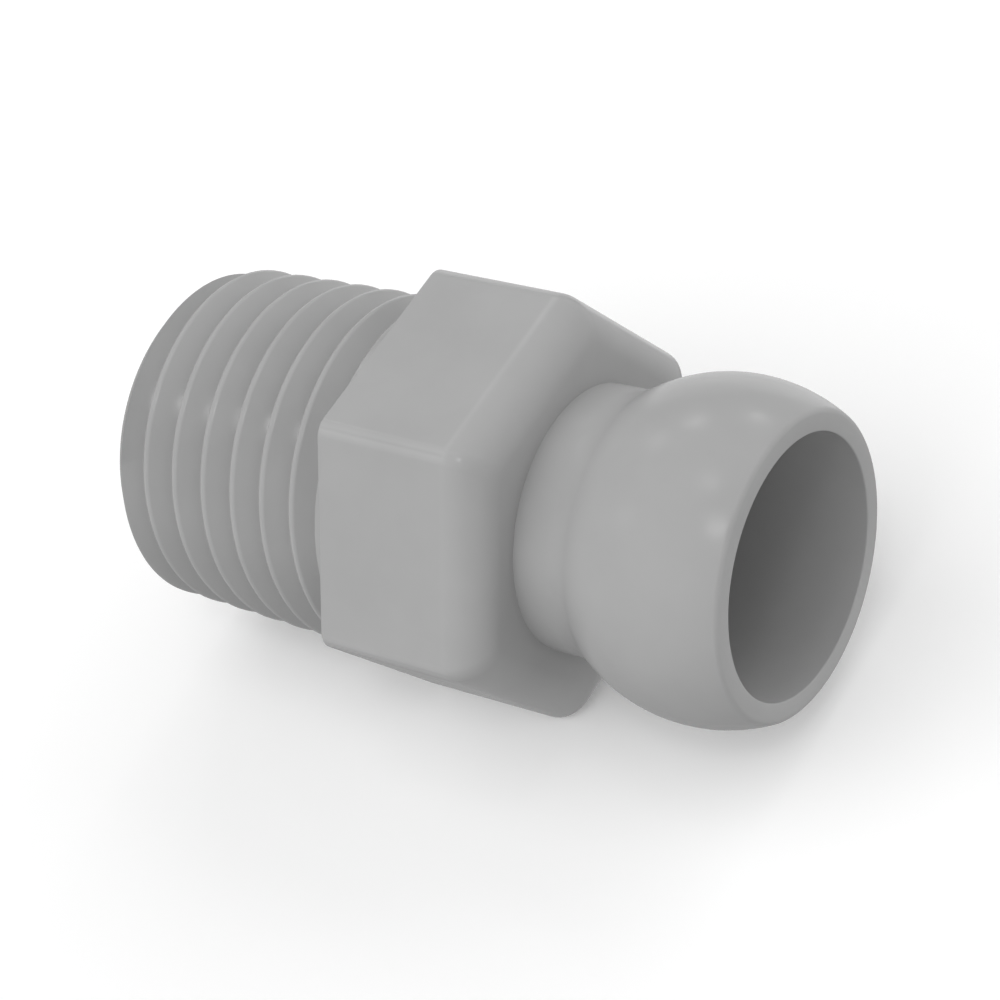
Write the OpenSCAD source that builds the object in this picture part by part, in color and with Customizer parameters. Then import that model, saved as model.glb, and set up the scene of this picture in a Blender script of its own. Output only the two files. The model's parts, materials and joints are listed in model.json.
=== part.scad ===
// Male connector of a ball-jointed coolant hose, moulded in one piece.
// The axis runs along X. The origin is the centre of the ball, +X points out of the ball's mouth,
// and one flat of the hexagon faces straight down.

/* [Ball] */
// Diameter of the ball that the next hose segment snaps over
ball_d = 12.62; // [12:0.01:13.2]
// Distance from the ball's centre to the flat face of its mouth
mouth_offset = 2.92; // [2.5:0.01:3.4]
// Rounding of the edge between the ball and the mouth's face
rim_round = 0.25; // [0.1:0.05:0.4]

/* [Neck] */
// Diameter of the neck between the ball and the hexagon
neck_d = 9.92; // [9:0.01:10.5]
// Distance from the ball's centre back to the hexagon's front face
neck_reach = 5.79; // [5:0.01:7]

/* [Hexagon] */
// Width across the hexagon's flats
hex_flats = 14.35; // [13.6:0.01:15.2]
// Length of the hexagon along the axis
hex_len = 6.85; // [5:0.01:9]
// Rounding of the six long edges
hex_edge_round = 0.7; // [0.3:0.05:1.2]
// Rounding of the edges round the front face
hex_front_round = 1.45; // [0.8:0.05:1.8]

/* [Thread] */
// Pitch of the tapered pipe thread, 18 turns to the inch
thread_pitch = 1.4111; // [1.3:0.0001:1.5]
// Length of the thread from the hexagon's back face to the end face
thread_len = 10.55; // [8:0.01:13]
// Diameter over the thread's crests at the end face, before its chamfer
thread_tip_d = 12.9; // [12.6:0.01:13.2]
// Growth of the thread's diameter for each unit of length, one in sixteen
thread_taper_share = 0.0625; // [0.04:0.0005:0.08]
// Angle between the two flanks of a thread ridge
thread_angle = 60; // [50:1:65]
// Width of the flat along the thread's crest
crest_flat = 0.22; // [0.1:0.01:0.35]
// Width of the flat along the thread's root
root_flat = 0.1; // [0.05:0.01:0.2]
// Height of the 45 degree chamfer at the thread's end face
thread_chamfer = 0.62; // [0.3:0.01:0.8]
// Angle about the axis at which the crest leaves the end face
thread_clocking = 62; // [0:1:359]
// Length of the plain collar between the thread and the hexagon
collar_len = 0.51; // [0.3:0.01:1]
// Rise of the collar over the thread's last crest
collar_rise = 0.02; // [0.02:0.01:0.1]

/* [Passage] */
// Diameter of the passage that the coolant flows through
bore_d = 6.35; // [5:0.05:7]
// Diameter of the wider mouth inside the ball
mouth_d = 9.65; // [9:0.01:10]
// Depth of the straight wall of the mouth
mouth_depth = 4.57; // [3.5:0.01:5]
// Angle between the axis and the wall that narrows from the mouth to the passage
narrowing_angle = 20; // [12:1:45]

/* [Hidden] */
plastic_grey = [0.64, 0.64, 0.64];

// Facets of the round exact solids
smooth = 96;
// Facets in one turn of the thread
turn_facets = 60;
// Facets of one rounded corner, of the rounding round the front face and of the ball's rim
corner_facets = 6;
front_facets = 8;
rim_facets = 5;
// Steps by which the rim's first facet runs on outside the ball
rim_lead_steps = 10;
// Overrun of every cut past the face that it opens
cut_over = 0.5;
// Depth to which one solid is sunk into the next
sink = 0.6;

ball_r = ball_d / 2;
neck_r = neck_d / 2;
hex_apothem = hex_flats / 2;
bore_r = bore_d / 2;
mouth_r = mouth_d / 2;

// Places along the axis, from the ball's centre
hex_front_x = -neck_reach;
hex_back_x = hex_front_x - hex_len;
thread_end_x = hex_back_x - thread_len;
shoulder_x = mouth_offset - mouth_depth;
narrowing_len = (mouth_r - bore_r) / tan(narrowing_angle);

// Thread form: half the flank angle gives the run of a flank from crest to root
thread_depth = (thread_pitch - crest_flat - root_flat) / 2 / tan(thread_angle / 2);
flank_run = thread_depth * tan(thread_angle / 2);
thread_profile = [
    [0, 0],
    [crest_flat, 0],
    [crest_flat + flank_run, thread_depth],
    [crest_flat + flank_run + root_flat, thread_depth],
];
// Turns cut away before the end face, and turns in all
lead_turns = 2;
thread_turns = ceil((thread_len + sink) / thread_pitch) + 2 * lead_turns;
thread_tip_r = thread_tip_d / 2;
thread_clear_r = thread_tip_r + thread_len * thread_taper_share;
collar_r = thread_tip_r + thread_len * thread_taper_share / 2 + collar_rise;

// Centre of the rim's rounding, and the angle at which the rounding meets the ball
rim_centre_x = mouth_offset - rim_round;
rim_centre_r = sqrt(pow(ball_r - rim_round, 2) - pow(rim_centre_x, 2));
rim_meet_angle = atan2(rim_centre_x, rim_centre_r);

// Turns a shape that stands along Z onto the X axis
module along_x() {
    rotate([0, 90, 0]) children();
}

// Point number side of the thread's profile, after a number of facets from the start
function screw_point(facet, side) =
    let (
        turn = facet / turn_facets,
        x = thread_end_x + (turn - lead_turns) * thread_pitch + thread_profile[side][0],
        r = thread_tip_r + (x - thread_end_x) * thread_taper_share / 2 - thread_profile[side][1],
        angle = thread_clocking + 360 * turn
    )
    [x, r * cos(angle), r * sin(angle)];

// One solid screw: its skin follows the helix, and a fan of triangles closes each end
module screw() {
    sides = len(thread_profile);
    last_facet = thread_turns * turn_facets;
    points = [for (facet = [0:last_facet]) for (side = [0:sides - 1]) screw_point(facet, side)];
    start_tip = len(points);
    end_tip = start_tip + 1;
    // A side past the last belongs to the next turn
    function at(facet, side) =
        side < sides ? facet * sides + side : (facet + turn_facets) * sides + side - sides;
    skin = [
        for (facet = [0:last_facet - 1]) for (side = [0:sides - 1])
            if (side < sides - 1 || facet < last_facet - turn_facets) each [
                [at(facet, side), at(facet, side + 1), at(facet + 1, side + 1)],
                [at(facet, side), at(facet + 1, side + 1), at(facet + 1, side)],
            ]
    ];
    start_edge = [
        for (facet = [0:turn_facets]) at(facet, 0),
        for (side = [sides - 1:-1:1]) at(0, side),
    ];
    end_edge = [
        for (facet = [0:turn_facets]) at(last_facet - turn_facets + facet, sides - 1),
        for (side = [0:sides - 2]) at(last_facet, sides - 2 - side),
    ];
    polyhedron(
        concat(points, [
            [screw_point(0, 0)[0], 0, 0],
            [screw_point(last_facet, 0)[0], 0, 0],
        ]),
        concat(
            skin,
            fan(start_edge, start_tip),
            fan([for (i = [len(end_edge) - 1:-1:0]) end_edge[i]], end_tip)
        )
    );
}

// Triangles from each step of a closed edge to one tip
function fan(edge, tip) = [
    for (i = [0:len(edge) - 1]) [edge[i], edge[(i + 1) % len(edge)], tip]
];

// The threaded spigot: the screw, trimmed to its end face and chamfer, and its plain collar
module threaded_spigot() {
    foot_r = thread_tip_r - thread_chamfer;
    intersection() {
        screw();
        along_x() rotate_extrude($fn = smooth) polygon([
            [0, thread_end_x],
            [foot_r, thread_end_x],
            [thread_clear_r, thread_end_x + thread_clear_r - foot_r],
            [thread_clear_r, hex_back_x + sink],
            [0, hex_back_x + sink],
        ]);
    }
    translate([hex_back_x - collar_len, 0, 0]) along_x()
        cylinder(h = collar_len + sink, r = collar_r, $fn = smooth);
}

// Outline of the hexagon at one place on the axis, drawn in from its flats, with rounded corners
function hex_ring(x, inset) = [
    for (corner = [0:60:300]) for (i = [0:corner_facets])
        let (
            angle = corner - 30 + 60 * i / corner_facets,
            centre_r = (hex_apothem - inset - hex_edge_round) / cos(30)
        )
        [
            x,
            centre_r * cos(corner) + hex_edge_round * cos(angle),
            centre_r * sin(corner) + hex_edge_round * sin(angle),
        ]
];

// Lofts a closed solid through rings that have the same number of points
module loft(rings) {
    count = len(rings[0]);
    last = len(rings) - 1;
    polyhedron(
        [for (ring = rings) each ring],
        concat(
            [for (k = [0:last - 1]) for (i = [0:count - 1]) each [
                [k * count + i, (k + 1) * count + i, (k + 1) * count + (i + 1) % count],
                [k * count + i, (k + 1) * count + (i + 1) % count, k * count + (i + 1) % count],
            ]],
            [[for (i = [0:count - 1]) i]],
            [[for (i = [count - 1:-1:0]) last * count + i]]
        )
    );
}

// The spanner hexagon: a straight prism behind, and a rounding that leads into the front face
module hexagon() {
    loft(concat(
        [hex_ring(hex_back_x, 0)],
        [for (i = [0:front_facets])
            let (angle = 90 * i / front_facets)
            hex_ring(
                hex_front_x - hex_front_round * (1 - sin(angle)),
                hex_front_round * (1 - cos(angle))
            )
        ]
    ));
}

// Half outline of the ball: the great circle, cut by an outline that ends in the rim's rounding
module ball_outline() {
    rim_points = [
        for (i = [0:rim_facets])
            let (angle = rim_meet_angle + (90 - rim_meet_angle) * i / rim_facets)
            [rim_centre_r, rim_centre_x] + rim_round * [cos(angle), sin(angle)]
    ];
    intersection() {
        circle(ball_r, $fn = smooth);
        polygon(concat(
            [
                [0, -ball_d],
                [ball_d, -ball_d],
                rim_points[0] + (rim_points[0] - rim_points[1]) * rim_lead_steps,
            ],
            [for (i = [1:rim_facets]) rim_points[i]],
            [[0, mouth_offset]]
        ));
    }
}

// The ball on its neck
module ball_and_neck() {
    along_x() {
        rotate_extrude($fn = smooth) ball_outline();
        translate([0, 0, hex_front_x - sink]) cylinder(h = neck_reach + sink, r = neck_r, $fn = smooth);
    }
}

// The way for the coolant: a straight bore that widens as a cone into the mouth
module passage() {
    along_x() rotate_extrude($fn = smooth) polygon([
        [0, thread_end_x - cut_over],
        [bore_r, thread_end_x - cut_over],
        [bore_r, shoulder_x - narrowing_len],
        [mouth_r, shoulder_x],
        [mouth_r, mouth_offset + cut_over],
        [0, mouth_offset + cut_over],
    ]);
}

// The whole connector
module coupling() {
    color(plastic_grey) difference() {
        union() {
            threaded_spigot();
            hexagon();
            ball_and_neck();
        }
        passage();
    }
}

coupling();
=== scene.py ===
"""Ball-ended coolant hose coupling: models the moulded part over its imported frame, and lights it."""
import json
import math

import bpy
from mathutils import Matrix, Vector


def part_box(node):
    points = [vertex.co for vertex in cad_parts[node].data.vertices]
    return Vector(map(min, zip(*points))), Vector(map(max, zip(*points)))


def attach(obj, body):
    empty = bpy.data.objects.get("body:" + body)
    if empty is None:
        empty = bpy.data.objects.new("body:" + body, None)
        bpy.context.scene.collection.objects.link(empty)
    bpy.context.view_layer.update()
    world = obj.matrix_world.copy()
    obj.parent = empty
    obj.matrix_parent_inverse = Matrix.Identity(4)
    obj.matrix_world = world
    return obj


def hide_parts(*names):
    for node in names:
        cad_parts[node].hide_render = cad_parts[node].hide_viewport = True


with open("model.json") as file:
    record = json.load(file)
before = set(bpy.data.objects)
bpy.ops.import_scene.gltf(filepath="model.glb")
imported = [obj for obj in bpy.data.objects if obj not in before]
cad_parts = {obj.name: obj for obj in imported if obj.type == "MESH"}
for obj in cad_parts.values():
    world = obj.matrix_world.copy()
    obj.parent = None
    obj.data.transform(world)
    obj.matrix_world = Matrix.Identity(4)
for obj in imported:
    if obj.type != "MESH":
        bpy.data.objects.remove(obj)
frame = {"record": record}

bl_info = {
    "name": "Hose coupling",
    "version": (1, 0, 0),
    "blender": (4, 5, 0),
    "location": "3D View > Sidebar > Hose coupling",
    "description": "Models a moulded ball-ended hose coupling and the studio it stands in",
    "category": "Object",
}

NODE = "coupling"
FRAME_LOW, FRAME_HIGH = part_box(NODE)
MOUNTS = {mount["name"]: mount for mount in frame["record"]["mounts"]}
MILLIMETRE = 0.001

# The frame gives the hexagon: its flats face up and down, and its rounded corners point along Y
FLAT_REACH = FRAME_HIGH.z
SHARP_CORNER = FLAT_REACH / math.cos(math.radians(30))
CORNER_ROUNDING = (SHARP_CORNER - FRAME_HIGH.y) / (1 / math.cos(math.radians(30)) - 1)

# Facets of a full turn of the round pieces, and of one turn of the thread
TURN_FACETS = 144
THREAD_FACETS = 108
ARC_FACETS = 10

# Soft lamps and small bulbs: angle round the upright axis, height above the level, both in degrees, and strength
LAMPS = (
    ("lamp_top", 0, 85, 0.276),
    ("lamp_over_left", -117, 54, 1.012),
    ("lamp_over_back", -130, 35, 0.833),
    ("lamp_left", -110, 17, 0.231),
    ("lamp_front", -57, 12, 0.511),
    ("lamp_right", 10, 10, 0.596),
    ("lamp_far", 80, 11, 1.904),
)
BULBS = (
    ("bulb_far", 125, 41, 0.051),
    ("bulb_low", 94, 31, 0.036),
    ("bulb_back", 150, 42, 0.034),
    ("bulb_top", 53, 87, 0.05),
    ("bulb_front", -51, 61, 0.155),
    ("bulb_side", -153, 38, 0.021),
)
# The pale backdrop behind, which only shows as a sheen along the upper outline
SHEEN = ("sheen_back", 125, -12, 0.2)
LAMP_WIDTH = math.radians(90)
SHEEN_WIDTH = math.radians(50)
BULB_WIDTH = math.radians(9.5)


class CouplingSizes(bpy.types.PropertyGroup):
    """Sizes of the coupling, all of them from the ball's centre"""

    ball_diameter: bpy.props.FloatProperty(
        name="Ball diameter",
        description="Diameter of the ball that the next hose segment snaps over",
        default=0.01262, min=0.012, max=0.014, subtype="DISTANCE", unit="LENGTH", precision=5,
    )
    mouth_face: bpy.props.FloatProperty(
        name="Mouth face",
        description="Distance from the ball's centre to the flat face round its mouth",
        default=FRAME_HIGH.x, subtype="DISTANCE", unit="LENGTH", precision=5,
    )
    rim_rounding: bpy.props.FloatProperty(
        name="Rim rounding",
        description="Radius of the edge between the ball and the mouth's face",
        default=0.00025, subtype="DISTANCE", unit="LENGTH", precision=5,
    )
    neck_diameter: bpy.props.FloatProperty(
        name="Neck diameter",
        description="Diameter of the neck behind the ball",
        default=0.00992, subtype="DISTANCE", unit="LENGTH", precision=5,
    )
    neck_reach: bpy.props.FloatProperty(
        name="Neck reach",
        description="Distance from the ball's centre back to the hexagon's front face",
        default=0.00579, subtype="DISTANCE", unit="LENGTH", precision=5,
    )
    neck_rounding: bpy.props.FloatProperty(
        name="Neck rounding",
        description="Radius of the hollow where the neck runs into the ball",
        default=0.002, subtype="DISTANCE", unit="LENGTH", precision=5,
    )
    hexagon_length: bpy.props.FloatProperty(
        name="Hexagon length",
        description="Length of the spanner hexagon along the axis",
        default=0.00685, subtype="DISTANCE", unit="LENGTH", precision=5,
    )
    hexagon_reach: bpy.props.FloatProperty(
        name="Hexagon reach",
        description="Distance from the axis to a flat of the hexagon",
        default=FLAT_REACH, subtype="DISTANCE", unit="LENGTH", precision=5,
    )
    long_edge_rounding: bpy.props.FloatProperty(
        name="Long edge rounding",
        description="Radius of the hexagon's six long edges",
        default=CORNER_ROUNDING, subtype="DISTANCE", unit="LENGTH", precision=5,
    )
    front_rounding: bpy.props.FloatProperty(
        name="Front rounding",
        description="Radius of the edges round the hexagon's front face",
        default=0.00145, subtype="DISTANCE", unit="LENGTH", precision=5,
    )
    # Width of the band over which the painted highlight line at the start of the front rounding fades out
    rubbed_width: bpy.props.FloatProperty(
        name="Highlight width",
        description="Width of the rubbed line where a flat of the hexagon meets the front rounding",
        default=0.00016, subtype="DISTANCE", unit="LENGTH", precision=5,
    )
    thread_end: bpy.props.FloatProperty(
        name="Thread end",
        description="Distance from the ball's centre back to the thread's end face",
        default=-FRAME_LOW.x, subtype="DISTANCE", unit="LENGTH", precision=5,
    )
    thread_diameter: bpy.props.FloatProperty(
        name="Thread diameter",
        description="Diameter over the crests at the thread's end face",
        default=0.0129, subtype="DISTANCE", unit="LENGTH", precision=5,
    )
    thread_pitch: bpy.props.FloatProperty(
        name="Thread pitch",
        description="Distance from one crest to the next",
        default=0.0014111, subtype="DISTANCE", unit="LENGTH", precision=6,
    )
    thread_taper: bpy.props.FloatProperty(
        name="Thread taper",
        description="Growth of the thread's diameter for each unit of its length",
        default=0.0625, subtype="FACTOR", min=0.0, max=0.2, precision=4,
    )
    crest_flat: bpy.props.FloatProperty(
        name="Crest flat",
        description="Width of the blunt crest of the thread",
        default=0.00022, subtype="DISTANCE", unit="LENGTH", precision=5,
    )
    crest_bevel: bpy.props.FloatProperty(
        name="Crest bevel",
        description="Width of the bevel that the mould leaves along both edges of the crest",
        default=0.00007, subtype="DISTANCE", unit="LENGTH", precision=5,
    )
    root_flat: bpy.props.FloatProperty(
        name="Root flat",
        description="Width of the floor between two ridges of the thread",
        default=0.0001, subtype="DISTANCE", unit="LENGTH", precision=5,
    )
    thread_chamfer: bpy.props.FloatProperty(
        name="Thread chamfer",
        description="Height of the 45 degree chamfer at the thread's end",
        default=0.00062, subtype="DISTANCE", unit="LENGTH", precision=5,
    )
    thread_clocking: bpy.props.FloatProperty(
        name="Thread clocking",
        description="Angle about the axis at which the crest leaves the end face",
        default=math.radians(62), subtype="ANGLE", unit="ROTATION",
    )
    collar_length: bpy.props.FloatProperty(
        name="Collar length",
        description="Length of the plain collar between the thread and the hexagon",
        default=0.00051, subtype="DISTANCE", unit="LENGTH", precision=5,
    )
    collar_rise: bpy.props.FloatProperty(
        name="Collar rise",
        description="Rise of the collar over the thread's last crest",
        default=0.00002, subtype="DISTANCE", unit="LENGTH", precision=5,
    )
    bore_diameter: bpy.props.FloatProperty(
        name="Bore diameter",
        description="Diameter of the passage for the coolant",
        default=2 * MILLIMETRE * MOUNTS["flow_bore"]["dims"]["r_mm"],
        subtype="DISTANCE", unit="LENGTH", precision=5,
    )
    bore_length: bpy.props.FloatProperty(
        name="Bore length",
        description="Length of the straight passage, from the thread's end face to where it widens",
        default=MILLIMETRE * MOUNTS["flow_bore"]["dims"]["length_mm"],
        subtype="DISTANCE", unit="LENGTH", precision=5,
    )
    mouth_diameter: bpy.props.FloatProperty(
        name="Mouth diameter",
        description="Diameter of the wide mouth inside the ball",
        default=2 * MILLIMETRE * MOUNTS["mouth_bore"]["dims"]["r_mm"],
        subtype="DISTANCE", unit="LENGTH", precision=5,
    )
    mouth_depth: bpy.props.FloatProperty(
        name="Mouth depth",
        description="Depth of the straight wall of the mouth",
        default=MILLIMETRE * MOUNTS["mouth_bore"]["dims"]["length_mm"],
        subtype="DISTANCE", unit="LENGTH", precision=5,
    )
    small_rounding: bpy.props.FloatProperty(
        name="Small rounding",
        description="Radius that the mould leaves on the edges that look sharp",
        default=0.00006, subtype="DISTANCE", unit="LENGTH", precision=5,
    )


class CouplingFinish(bpy.types.PropertyGroup):
    """Colour and surface of the moulded plastic"""

    colour: bpy.props.FloatVectorProperty(
        name="Colour",
        description="Colour of the plain grey plastic",
        default=(0.4, 0.4, 0.4), min=0.0, max=1.0, size=3, subtype="COLOR",
    )
    mottle: bpy.props.FloatProperty(
        name="Mottle",
        description="How far the grey varies where the plastic flowed and cooled",
        default=0.03, min=0.0, max=0.3, subtype="FACTOR",
    )
    roughness: bpy.props.FloatProperty(
        name="Roughness",
        description="Roughness of the skin that the mould leaves",
        default=0.21, min=0.0, max=1.0, subtype="FACTOR",
    )
    # Strength of the painted highlights: how much lighter the colour is painted along the hexagon's long edges and
    # front line
    painted_highlight: bpy.props.FloatProperty(
        name="Highlighting",
        description="How much lighter the plastic is along the hexagon's rubbed edges",
        default=0.07, min=0.0, max=0.5, subtype="FACTOR",
    )
    grain_size: bpy.props.FloatProperty(
        name="Grain size",
        description="Size of one grain of the mould's texture",
        default=0.00009, subtype="DISTANCE", unit="LENGTH", precision=5,
    )
    grain_depth: bpy.props.FloatProperty(
        name="Grain depth",
        description="Depth of the grain of the mould's texture",
        default=0.0000015, subtype="DISTANCE", unit="LENGTH", precision=7,
    )


class StudioSettings(bpy.types.PropertyGroup):
    """Camera, floor and light round the coupling"""

    floor_colour: bpy.props.FloatVectorProperty(
        name="Floor colour",
        description="Colour of the plain matt floor",
        default=(0.98, 0.98, 0.98), min=0.0, max=1.0, size=3, subtype="COLOR",
    )
    room_light: bpy.props.FloatProperty(
        name="Room light",
        description="Strength of the even white light from above the level of the floor",
        default=0.149, min=0.0, max=10.0,
    )
    under_light: bpy.props.FloatProperty(
        name="Under light",
        description="Strength of the even white light from below, which stands in for the floor's own bounce",
        default=0.369, min=0.0, max=10.0,
    )
    lamp_light: bpy.props.FloatProperty(
        name="Lamp light",
        description="Strength of all the soft lamps together",
        default=1.0, min=0.0, max=10.0,
    )
    bulb_light: bpy.props.FloatProperty(
        name="Bulb light",
        description="Strength of all the small bulbs together, which leave the soft spots on the ball",
        default=1.0, min=0.0, max=10.0,
    )
    lens: bpy.props.FloatProperty(
        name="Lens",
        description="Focal length of the camera, in millimetres",
        default=112.95, min=10.0, max=500.0,
    )
    azimuth: bpy.props.FloatProperty(
        name="Azimuth",
        description="Angle of the view round the upright axis, with the hexagon on a corner",
        default=math.radians(34.868), subtype="ANGLE", unit="ROTATION",
    )
    elevation: bpy.props.FloatProperty(
        name="Elevation",
        description="Height of the view above the level, with the hexagon on a corner",
        default=math.radians(20.031), subtype="ANGLE", unit="ROTATION",
    )
    roll: bpy.props.FloatProperty(
        name="Roll",
        description="Turn of the camera about its own axis",
        default=math.radians(0.106), subtype="ANGLE", unit="ROTATION",
    )
    part_turn: bpy.props.FloatProperty(
        name="Part turn",
        description="Turn about its axis that lays the coupling from a corner of its hexagon onto a flat",
        default=math.radians(-30), subtype="ANGLE", unit="ROTATION",
    )
    distance: bpy.props.FloatProperty(
        name="Distance",
        description="Distance from the camera's plane to the ball's centre",
        default=0.11029, subtype="DISTANCE", unit="LENGTH", precision=5,
    )
    aside: bpy.props.FloatProperty(
        name="Aside",
        description="How far the ball's centre lies to the right of the camera's axis",
        default=0.0080294, subtype="DISTANCE", unit="LENGTH", precision=6,
    )
    below: bpy.props.FloatProperty(
        name="Below",
        description="How far the ball's centre lies under the camera's axis",
        default=0.0017792, subtype="DISTANCE", unit="LENGTH", precision=6,
    )


# ---- modelling, in millimetres until the piece is finished


def clear_selection():
    """Goes back to object mode with nothing selected, so an operator acts only on what comes next."""
    if bpy.context.mode != "OBJECT":
        bpy.ops.object.mode_set(mode="OBJECT")
    bpy.ops.object.select_all(action="DESELECT")


def choose(piece):
    """Makes one object the only one that is selected."""
    clear_selection()
    piece.select_set(True)
    bpy.context.view_layer.objects.active = piece


def apply_modifier(piece, kind, **settings):
    """Puts a modifier on an object and applies it."""
    choose(piece)
    modifier = piece.modifiers.new(kind.title(), kind)
    for name, value in settings.items():
        setattr(modifier, name, value)
    bpy.ops.object.modifier_apply(modifier=modifier.name)


def combine(piece, tool, operation):
    """Joins a tool to a piece, keeps what they share or cuts it away, and removes the tool."""
    apply_modifier(piece, "BOOLEAN", object=tool, operation=operation, solver="EXACT")
    bpy.data.objects.remove(tool)
    # Points that fall together along the new seam are merged, so the shell stays closed
    bpy.ops.object.mode_set(mode="EDIT")
    bpy.ops.mesh.select_all(action="SELECT")
    bpy.ops.mesh.remove_doubles(threshold=0.00002)
    bpy.ops.mesh.dissolve_degenerate(threshold=0.00002)
    bpy.ops.object.mode_set(mode="OBJECT")


def tidy_shell():
    """In edit mode, merges doubles and turns all the faces outwards."""
    bpy.ops.mesh.select_all(action="SELECT")
    bpy.ops.mesh.remove_doubles(threshold=0.0001)
    bpy.ops.mesh.normals_make_consistent(inside=False)


def trace(name, outline):
    """Draws an outline beside the axis as a chain of edges, each one extruded from the last."""
    clear_selection()
    bpy.ops.mesh.primitive_plane_add(size=1, location=(*outline[0], 0))
    piece = bpy.context.object
    piece.name = name
    bpy.ops.object.transform_apply(location=True, rotation=False, scale=False)
    bpy.ops.object.mode_set(mode="EDIT")
    bpy.ops.mesh.select_all(action="SELECT")
    bpy.ops.mesh.merge(type="CENTER")
    for last, point in zip(outline, outline[1:]):
        step = (point[0] - last[0], point[1] - last[1], 0)
        bpy.ops.mesh.extrude_region_move(TRANSFORM_OT_translate={"value": step})
    return piece


def turned(name, outline):
    """Turns an outline round the axis, as on a lathe. It starts and ends on the axis."""
    piece = trace(name, outline)
    bpy.ops.mesh.select_all(action="SELECT")
    bpy.ops.mesh.spin(steps=TURN_FACETS, angle=math.tau, center=(0, 0, 0), axis=(1, 0, 0))
    tidy_shell()
    bpy.ops.object.mode_set(mode="OBJECT")
    return piece


def arc(centre, radius, start, end, facets=ARC_FACETS):
    """Points of an arc, with its angles in degrees from the axis."""
    angles = [math.radians(start + (end - start) * i / facets) for i in range(facets + 1)]
    return [(centre[0] + radius * math.cos(a), centre[1] + radius * math.sin(a)) for a in angles]


def ball_and_neck(size):
    """The ball with its rounded rim, on the neck that runs back into the hexagon."""
    ball = size["ball_diameter"] / 2
    rim = size["rim_rounding"]
    neck = size["neck_diameter"] / 2
    hollow = size["neck_rounding"]
    rim_x = size["mouth_face"] - rim
    rim_r = math.sqrt((ball - rim) ** 2 - rim_x ** 2)
    rim_angle = math.degrees(math.atan2(rim_r, rim_x))
    hollow_r = neck + hollow
    hollow_x = -math.sqrt((ball + hollow) ** 2 - hollow_r ** 2)
    hollow_angle = math.degrees(math.atan2(hollow_r, hollow_x))
    start = -size["neck_reach"] - 1
    outline = [(start, 0), (start, neck)]
    outline += arc((hollow_x, hollow_r), hollow, 270, 180 + hollow_angle, 12)
    outline += arc((0, 0), ball, hollow_angle, rim_angle, 64)[1:]
    outline += arc((rim_x, rim_r), rim, rim_angle, 0, 8)[1:]
    outline += [(size["mouth_face"], 0)]
    return turned("ball", outline)


def passage(size):
    """The way for the coolant: a bore that widens as a cone into the mouth, a little flared at both ends."""
    bore = size["bore_diameter"] / 2
    mouth = size["mouth_diameter"] / 2
    soft = size["small_rounding"]
    face = size["mouth_face"]
    end = -size["thread_end"]
    # Each flare ends in a straight lead out of the part, 70 degrees from the axis
    back = arc((end + soft, bore + soft), soft, 200, 270, 4)
    front = arc((face - soft, mouth + soft), soft, 270, 340, 4)
    first = (back[0][0] - 0.3 * math.cos(math.radians(70)), back[0][1] + 0.3 * math.sin(math.radians(70)))
    last = (front[-1][0] + 0.3 * math.cos(math.radians(70)), front[-1][1] + 0.3 * math.sin(math.radians(70)))
    outline = [(first[0], 0), first, *back, (end + size["bore_length"], bore)]
    outline += [(face - size["mouth_depth"], mouth), *front, last, (last[0], 0)]
    return turned("passage", outline)


def hexagon(size):
    """The spanner hexagon: rounded along its long edges and round its front face."""
    reach = size["hexagon_reach"]
    back = -size["neck_reach"] - size["hexagon_length"]
    front = -size["neck_reach"]
    soft = size["small_rounding"]
    rounding = size["front_rounding"]
    clear_selection()
    bpy.ops.mesh.primitive_circle_add(
        vertices=6, radius=reach / math.cos(math.radians(30)), fill_type="NGON",
        location=(back, 0, 0), rotation=(0, math.radians(90), 0),
    )
    piece = bpy.context.object
    piece.name = "hexagon"
    bpy.ops.object.transform_apply(location=True, rotation=True, scale=True)
    bpy.ops.object.mode_set(mode="EDIT")
    bpy.ops.mesh.select_all(action="SELECT")
    bpy.ops.mesh.bevel(
        affect="VERTICES", offset_type="OFFSET", segments=8,
        offset=size["long_edge_rounding"] * math.tan(math.radians(30)),
    )
    # Each step carries the face on along the axis and draws it in or out
    steps = [(back + soft * (1 - c), soft * (1 - s)) for c, s in quarter(3)]
    # An extra ring just before the front rounding, so the painted highlight line there stays narrow
    steps += [(front - rounding - size["rubbed_width"], 0)]
    steps += [(front - rounding * (1 - s), rounding * (1 - c)) for c, s in quarter(12)]
    place, inset = steps[0]
    bpy.ops.transform.resize(value=(1, (reach - inset) / reach, (reach - inset) / reach), center_override=(place, 0, 0))
    for next_place, next_inset in steps[1:]:
        draw = (reach - next_inset) / (reach - inset)
        bpy.ops.mesh.extrude_region_move(TRANSFORM_OT_translate={"value": (next_place - place, 0, 0)})
        bpy.ops.transform.resize(value=(1, draw, draw), center_override=(next_place, 0, 0))
        place, inset = next_place, next_inset
    tidy_shell()
    bpy.ops.object.mode_set(mode="OBJECT")
    return piece


def quarter(facets):
    """Cosine and sine of the steps of a quarter turn."""
    angles = [math.pi / 2 * i / facets for i in range(facets + 1)]
    return [(math.cos(a), math.sin(a)) for a in angles]


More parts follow.
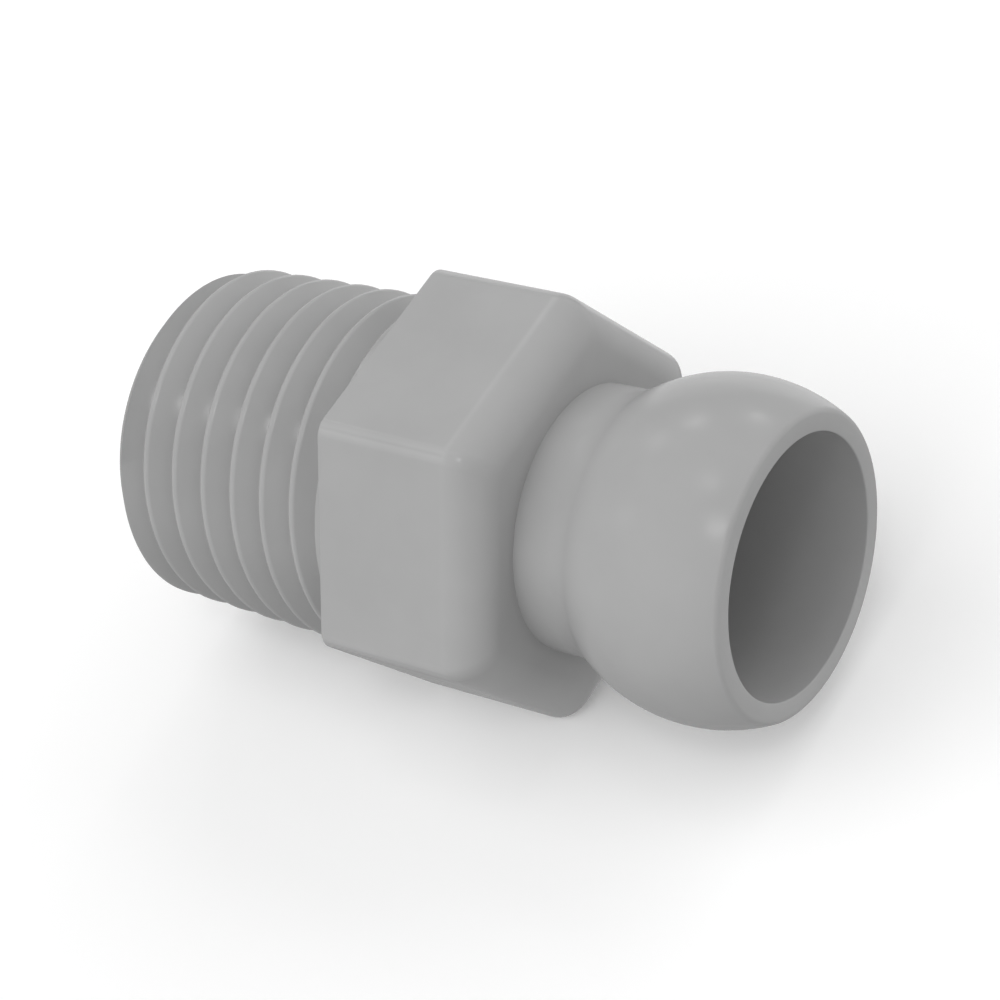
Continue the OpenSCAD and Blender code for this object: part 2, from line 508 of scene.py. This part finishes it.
def threaded_spigot(size):
    """The tapered thread: one pitch of it is drawn, screwed along the axis and trimmed to length."""
    pitch = size["thread_pitch"]
    crest = size["crest_flat"]
    root = size["root_flat"]
    end = -size["thread_end"]
    back = -size["neck_reach"] - size["hexagon_length"]
    slope = size["thread_taper"] / 2
    radius = size["thread_diameter"] / 2
    level = radius - end * slope
    flank = (pitch - crest - root) / 2
    depth = flank / math.tan(math.radians(30))
    soft = size["small_rounding"]
    lead_turns = 2
    turns = math.ceil((back - end) / pitch) + 2 * lead_turns
    start = end - pitch * (lead_turns + size["thread_clocking"] / math.tau) + crest / 2
    corners = [
        (start, level),
        (start + crest / 2, level),
        (start + crest / 2 + flank, level - depth),
        (start + crest / 2 + flank + root, level - depth),
        (start + pitch - crest / 2, level),
        (start + pitch, level),
    ]
    piece = trace("thread", corners)
    # The mould leaves both edges of the crest a little blunt
    bpy.ops.mesh.select_all(action="DESELECT")
    bpy.ops.object.mode_set(mode="OBJECT")
    for vertex in piece.data.vertices:
        inside = start + 0.01 < vertex.co.x < start + pitch - 0.01
        vertex.select = inside and abs(vertex.co.y - level) < 0.01
    bpy.ops.object.mode_set(mode="EDIT")
    bpy.ops.mesh.bevel(affect="VERTICES", offset_type="OFFSET", segments=1, offset=size["crest_bevel"])
    bpy.ops.object.mode_set(mode="OBJECT")
    apply_modifier(
        piece, "SCREW", axis="X", angle=math.tau, screw_offset=pitch, iterations=turns,
        steps=THREAD_FACETS, render_steps=THREAD_FACETS, use_merge_vertices=True, merge_threshold=0.0005,
    )
    # Each open end is drawn on past itself and gathered to one point on the axis
    bpy.ops.object.mode_set(mode="EDIT")
    tidy_shell()
    middle = start + pitch * turns / 2
    for side in (-1, 1):
        bpy.ops.mesh.select_all(action="DESELECT")
        bpy.ops.mesh.select_non_manifold(
            extend=False, use_wire=False, use_boundary=True, use_multi_face=False,
            use_non_contiguous=False, use_verts=False,
        )
        bpy.ops.object.mode_set(mode="OBJECT")
        for vertex in piece.data.vertices:
            vertex.select = vertex.select and (vertex.co.x - middle) * side > 0
        for edge in piece.data.edges:
            edge.select = all(piece.data.vertices[v].select for v in edge.vertices)
        bpy.ops.object.mode_set(mode="EDIT")
        bpy.ops.mesh.extrude_region_move(TRANSFORM_OT_translate={"value": (side * pitch, 0, 0)})
        bpy.ops.mesh.merge(type="CENTER")
    tidy_shell()
    bpy.ops.object.mode_set(mode="OBJECT")
    long = max(v.co.x for v in piece.data.vertices) - min(v.co.x for v in piece.data.vertices)
    apply_modifier(
        piece, "SIMPLE_DEFORM", deform_method="TAPER", deform_axis="X", factor=slope / level * long,
    )
    # The trim is flat at the end face, chamfered beside it and a little round between the two
    foot = radius - size["thread_chamfer"]
    clear = radius + 1
    sunk = back + 0.8
    corner = (end + soft, foot - soft * math.tan(math.radians(22.5)))
    outline = [(end, 0), *arc(corner, soft, 180, 135, 3), (end + clear - foot, clear), (sunk, clear), (sunk, 0)]
    combine(piece, turned("trim", outline), "INTERSECT")
    return piece


def plain_collar(size):
    """The plain collar that the thread's last turn runs out into, sunk into the hexagon."""
    back = -size["neck_reach"] - size["hexagon_length"]
    start = back - size["collar_length"]
    soft = size["small_rounding"]
    radius = size["thread_diameter"] / 2 + size["collar_rise"]
    radius += (back + size["thread_end"]) * size["thread_taper"] / 2
    outline = [(start, 0), *arc((start + soft, radius - soft), soft, 180, 90, 4), (back + 0.7, radius), (back + 0.7, 0)]
    return turned("collar", outline)


def on_thread(face, size):
    """Says whether a face lies on the thread's ridges, and not on the end's chamfer, the collar or the bore."""
    start = -size["thread_end"] * MILLIMETRE
    stop = -(size["neck_reach"] + size["hexagon_length"] + size["collar_length"]) * MILLIMETRE
    outwards = face.normal.y * face.center.y + face.normal.z * face.center.z > 0
    chamfer = -0.8 < face.normal.x < -0.6
    return start < face.center.x < stop and outwards and not chamfer and abs(face.normal.x) < 0.95


def shade(piece, size):
    """Smooths the rounded surfaces, keeps the flats flat and the creases sharp, and softens the thread."""
    choose(piece)
    bpy.ops.object.shade_smooth_by_angle(angle=math.radians(28), keep_sharp_edges=False)
    mesh = piece.data
    ridges = [face for face in mesh.polygons if on_thread(face, size)]
    sides = {}
    for face in ridges:
        for key in face.edge_keys:
            sides[key] = sides.get(key, 0) + 1
    for edge in mesh.edges:
        if sides.get(tuple(sorted(edge.vertices))) == 2:
            edge.use_edge_sharp = False
    group = piece.vertex_groups.new(name="thread")
    group.add(list({v for face in ridges for v in face.vertices}), 1.0, "REPLACE")
    apply_modifier(
        piece, "WEIGHTED_NORMAL", keep_sharp=True, weight=80, vertex_group="thread", invert_vertex_group=True,
    )
    piece.vertex_groups.clear()


def paint_edge_highlights(piece, size):
    """Marks where the colour is lightened as painted highlights: along the hexagon's long edges and along the line
    where its front rounding starts, for the finish to read.
    """
    rounding = size["long_edge_rounding"]
    centre = (size["hexagon_reach"] - rounding) / math.cos(math.radians(30))
    back = -size["neck_reach"] - size["hexagon_length"]
    start = -size["neck_reach"] - size["front_rounding"]
    marks = piece.data.attributes.new("rubbed", "FLOAT", "POINT")
    for vertex, mark in zip(piece.data.vertices, marks.data):
        x, y, z = vertex.co / MILLIMETRE
        if not (back < x < start + 0.001 and math.hypot(y, z) > size["hexagon_reach"] - 0.01):
            continue
        corner = round(math.atan2(z, y) / math.radians(60)) * math.radians(60)
        aside = z * math.cos(corner) - y * math.sin(corner)
        out = y * math.cos(corner) + z * math.sin(corner) - centre
        on_edge = abs(math.hypot(aside, out) - rounding) < 0.01
        along = 1.5 - abs(math.degrees(math.atan2(aside, out))) / 20 if on_edge else 0
        # The painted highlight along the front line is strongest on the flat that faces up, where the light from above
        # falls
        across = 0.9 * max(vertex.normal.z, 0) ** 2 if abs(x - start) < 0.001 else 0
        mark.value = min(max(along, across, 0), 1)


# ---- finish


def add_node(tree, kind, inputs=None, **settings):
    """Adds a shader node, with its settings and the values of its inputs."""
    node = tree.nodes.new(kind)
    for name, value in settings.items():
        setattr(node, name, value)
    for name, value in (inputs or {}).items():
        node.inputs[name].default_value = value
    return node


def moulded_plastic(finish):
    """Plain grey moulded plastic: a faint mottle, a skin of varying gloss, a fine grain, and painted highlights that
    lighten the colour along the hexagon's edges.
    """
    material = bpy.data.materials.new("moulded_grey_plastic")
    material.use_nodes = True
    tree = material.node_tree
    shader = tree.nodes["Principled BSDF"]
    link = tree.links.new
    place = add_node(tree, "ShaderNodeTexCoord")
    flow = add_node(tree, "ShaderNodeTexNoise", {"Scale": 260.0, "Detail": 3.0, "Roughness": 0.55})
    link(place.outputs["Object"], flow.inputs["Vector"])
    grey = add_node(tree, "ShaderNodeValToRGB")
    low, high = (tuple(c * (1 + side * finish.mottle) for c in finish.colour) for side in (-1, 1))
    grey.color_ramp.elements[0].position = 0.3
    grey.color_ramp.elements[1].position = 0.7
    grey.color_ramp.elements[0].color = (*low, 1)
    grey.color_ramp.elements[1].color = (*high, 1)
    link(flow.outputs["Fac"], grey.inputs["Fac"])
    # Painted highlights: the colour is made lighter where the mesh marks the hexagon's long edges and front line
    rubbed = add_node(tree, "ShaderNodeAttribute", attribute_name="rubbed")
    lighter = add_node(tree, "ShaderNodeMix", data_type="RGBA", blend_type="MULTIPLY")
    # The node has sockets of the same name for each kind of data, and these are the colour's
    share, first, second = (lighter.inputs[i] for i in (0, 6, 7))
    second.default_value = (*(1 + finish.painted_highlight for _ in range(3)), 1)
    link(rubbed.outputs["Fac"], share)
    link(grey.outputs["Color"], first)
    link(lighter.outputs[2], shader.inputs["Base Color"])
    skin = add_node(tree, "ShaderNodeTexNoise", {"Scale": 900.0, "Detail": 2.0})
    link(place.outputs["Object"], skin.inputs["Vector"])
    gloss = add_node(tree, "ShaderNodeMapRange", {
        "From Min": 0.3, "From Max": 0.7,
        "To Min": finish.roughness - 0.04, "To Max": finish.roughness + 0.05,
    })
    link(skin.outputs["Fac"], gloss.inputs["Value"])
    link(gloss.outputs["Result"], shader.inputs["Roughness"])
    grain = add_node(tree, "ShaderNodeTexNoise", {"Scale": 1 / finish.grain_size, "Detail": 2.0, "Roughness": 0.6})
    link(place.outputs["Object"], grain.inputs["Vector"])
    bump = add_node(tree, "ShaderNodeBump", {"Strength": 1.0, "Distance": finish.grain_depth})
    link(grain.outputs["Fac"], bump.inputs["Height"])
    link(bump.outputs["Normal"], shader.inputs["Normal"])
    shader.inputs["IOR"].default_value = 1.48
    return material


def plain_floor(colour):
    """Matt pale card, lit a little through, as on a light table."""
    material = bpy.data.materials.new("floor_card")
    material.use_nodes = True
    tree = material.node_tree
    shader = tree.nodes["Principled BSDF"]
    shader.inputs["Base Color"].default_value = (*colour, 1)
    shader.inputs["Roughness"].default_value = 0.9
    shader.inputs["Specular IOR Level"].default_value = 0.0
    shader.inputs["Emission Color"].default_value = (1, 1, 1, 1)
    shader.inputs["Emission Strength"].default_value = 0.06
    return material


# ---- operators


class HOSECOUPLING_OT_coupling(bpy.types.Operator):
    """Models the coupling in one piece and gives it its plastic"""

    bl_idname = "hose_coupling.coupling"
    bl_label = "Model coupling"

    def execute(self, context):
        sizes = context.scene.coupling_sizes
        lengths = {
            name: prop / MILLIMETRE if sizes.bl_rna.properties[name].unit == "LENGTH" else prop
            for name in sizes.bl_rna.properties.keys()
            if name not in ("rna_type", "name")
            for prop in (getattr(sizes, name),)
        }
        piece = threaded_spigot(lengths)
        combine(piece, plain_collar(lengths), "UNION")
        combine(piece, hexagon(lengths), "UNION")
        combine(piece, ball_and_neck(lengths), "UNION")
        combine(piece, passage(lengths), "DIFFERENCE")
        piece.name = piece.data.name = "moulded_coupling"
        choose(piece)
        piece.scale = (MILLIMETRE,) * 3
        bpy.ops.object.transform_apply(location=True, rotation=True, scale=True)
        shade(piece, lengths)
        # Marks the hexagon's edges for the painted highlights
        paint_edge_highlights(piece, lengths)
        piece.data.materials.clear()
        piece.data.materials.append(moulded_plastic(context.scene.coupling_finish))
        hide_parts(NODE)
        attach(piece, "root")
        return {"FINISHED"}


class HOSECOUPLING_OT_studio(bpy.types.Operator):
    """Lays the floor, lights it and points the camera"""

    bl_idname = "hose_coupling.studio"
    bl_label = "Set up studio"

    def execute(self, context):
        studio = context.scene.coupling_studio
        clear_selection()
        bpy.ops.mesh.primitive_plane_add(size=6, location=(0, 0, FRAME_LOW.z))
        floor = bpy.context.object
        floor.name = "floor"
        bpy.ops.object.transform_apply(location=True, rotation=False, scale=False)
        floor.data.materials.append(plain_floor(studio.floor_colour))
        # The camera sees the floor and its shadow, and the light from below stands in for its bounce
        floor.visible_diffuse = floor.visible_glossy = floor.visible_shadow = False
        context.scene.world = room(studio.room_light, studio.under_light)
        for name, azimuth, height, strength in LAMPS:
            lamp = hang_lamp(name, math.radians(azimuth), math.radians(height), LAMP_WIDTH, strength * studio.lamp_light)
            lamp.visible_glossy = False
        for name, azimuth, height, strength in BULBS:
            hang_lamp(name, math.radians(azimuth), math.radians(height), BULB_WIDTH, strength * studio.bulb_light)
        name, azimuth, height, strength = SHEEN
        sheen = hang_lamp(name, math.radians(azimuth), math.radians(height), SHEEN_WIDTH, strength * studio.lamp_light)
        sheen.visible_diffuse = False
        place_camera(context.scene, studio)
        context.scene.view_settings.view_transform = "Standard"
        context.scene.view_settings.look = "None"
        return {"FINISHED"}


def room(above, below):
    """An evenly lit white room, brighter or darker below the level than above it."""
    world = bpy.data.worlds.new("studio")
    world.use_nodes = True
    tree = world.node_tree
    place = add_node(tree, "ShaderNodeTexCoord")
    split = add_node(tree, "ShaderNodeSeparateXYZ")
    tree.links.new(place.outputs["Object"], split.inputs["Vector"])
    level = add_node(tree, "ShaderNodeMapRange", {
        "From Min": -0.02, "From Max": 0.02, "To Min": below, "To Max": above,
    })
    tree.links.new(split.outputs["Z"], level.inputs["Value"])
    tree.links.new(level.outputs["Result"], tree.nodes["Background"].inputs["Strength"])
    tree.nodes["Background"].inputs["Color"].default_value = (1, 1, 1, 1)
    return world


def hang_lamp(name, azimuth, height, width, strength):
    """Hangs one far lamp, which is seen from the coupling as a disc of the given width."""
    bpy.ops.object.light_add(type="SUN", rotation=(0, math.pi / 2 - height, azimuth))
    lamp = bpy.context.object
    lamp.name = lamp.data.name = name
    lamp.data.angle = width
    lamp.data.energy = strength
    return lamp


def place_camera(scene, studio):
    """Points the camera as for a coupling on a corner of its hexagon, then turns it with the part."""
    sa, ca = math.sin(studio.azimuth), math.cos(studio.azimuth)
    se, ce = math.sin(studio.elevation), math.cos(studio.elevation)
    back = Vector((sa * ce, -ca * ce, se))
    right = Vector((ca, sa, 0))
    up = back.cross(right)
    sr, cr = math.sin(studio.roll), math.cos(studio.roll)
    right, up = right * cr + up * sr, up * cr - right * sr
    place = back * studio.distance - right * studio.aside + up * studio.below
    turn = Matrix.Rotation(studio.part_turn, 4, "X")
    data = bpy.data.cameras.new("camera")
    data.lens = studio.lens
    data.sensor_width = 36
    data.clip_start, data.clip_end = 0.01, 20
    camera = bpy.data.objects.new("camera", data)
    scene.collection.objects.link(camera)
    pose = Matrix((right, up, back)).transposed().to_4x4()
    pose.translation = place
    camera.matrix_world = turn @ pose
    scene.camera = camera


class HOSECOUPLING_PT_sidebar(bpy.types.Panel):
    """Lists the sizes, the finish and the studio of the coupling"""

    bl_label = "Hose coupling"
    bl_space_type = "VIEW_3D"
    bl_region_type = "UI"
    bl_category = "Hose coupling"

    def draw(self, context):
        groups = (
            (HOSECOUPLING_OT_coupling, context.scene.coupling_sizes),
            (None, context.scene.coupling_finish),
            (HOSECOUPLING_OT_studio, context.scene.coupling_studio),
        )
        for operator, settings in groups:
            box = self.layout.box()
            for name in settings.bl_rna.properties.keys():
                if name not in ("rna_type", "name"):
                    box.prop(settings, name)
            if operator:
                box.operator(operator.bl_idname)


CLASSES = (
    CouplingSizes,
    CouplingFinish,
    StudioSettings,
    HOSECOUPLING_OT_coupling,
    HOSECOUPLING_OT_studio,
    HOSECOUPLING_PT_sidebar,
)


def register():
    for cls in CLASSES:
        bpy.utils.register_class(cls)
    bpy.types.Scene.coupling_sizes = bpy.props.PointerProperty(type=CouplingSizes)
    bpy.types.Scene.coupling_finish = bpy.props.PointerProperty(type=CouplingFinish)
    bpy.types.Scene.coupling_studio = bpy.props.PointerProperty(type=StudioSettings)


def unregister():
    del bpy.types.Scene.coupling_studio
    del bpy.types.Scene.coupling_finish
    del bpy.types.Scene.coupling_sizes
    for cls in reversed(CLASSES):
        bpy.utils.unregister_class(cls)


def main():
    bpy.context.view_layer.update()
    register()
    bpy.ops.hose_coupling.coupling()
    bpy.ops.hose_coupling.studio()


if __name__ == "__main__":
    main()
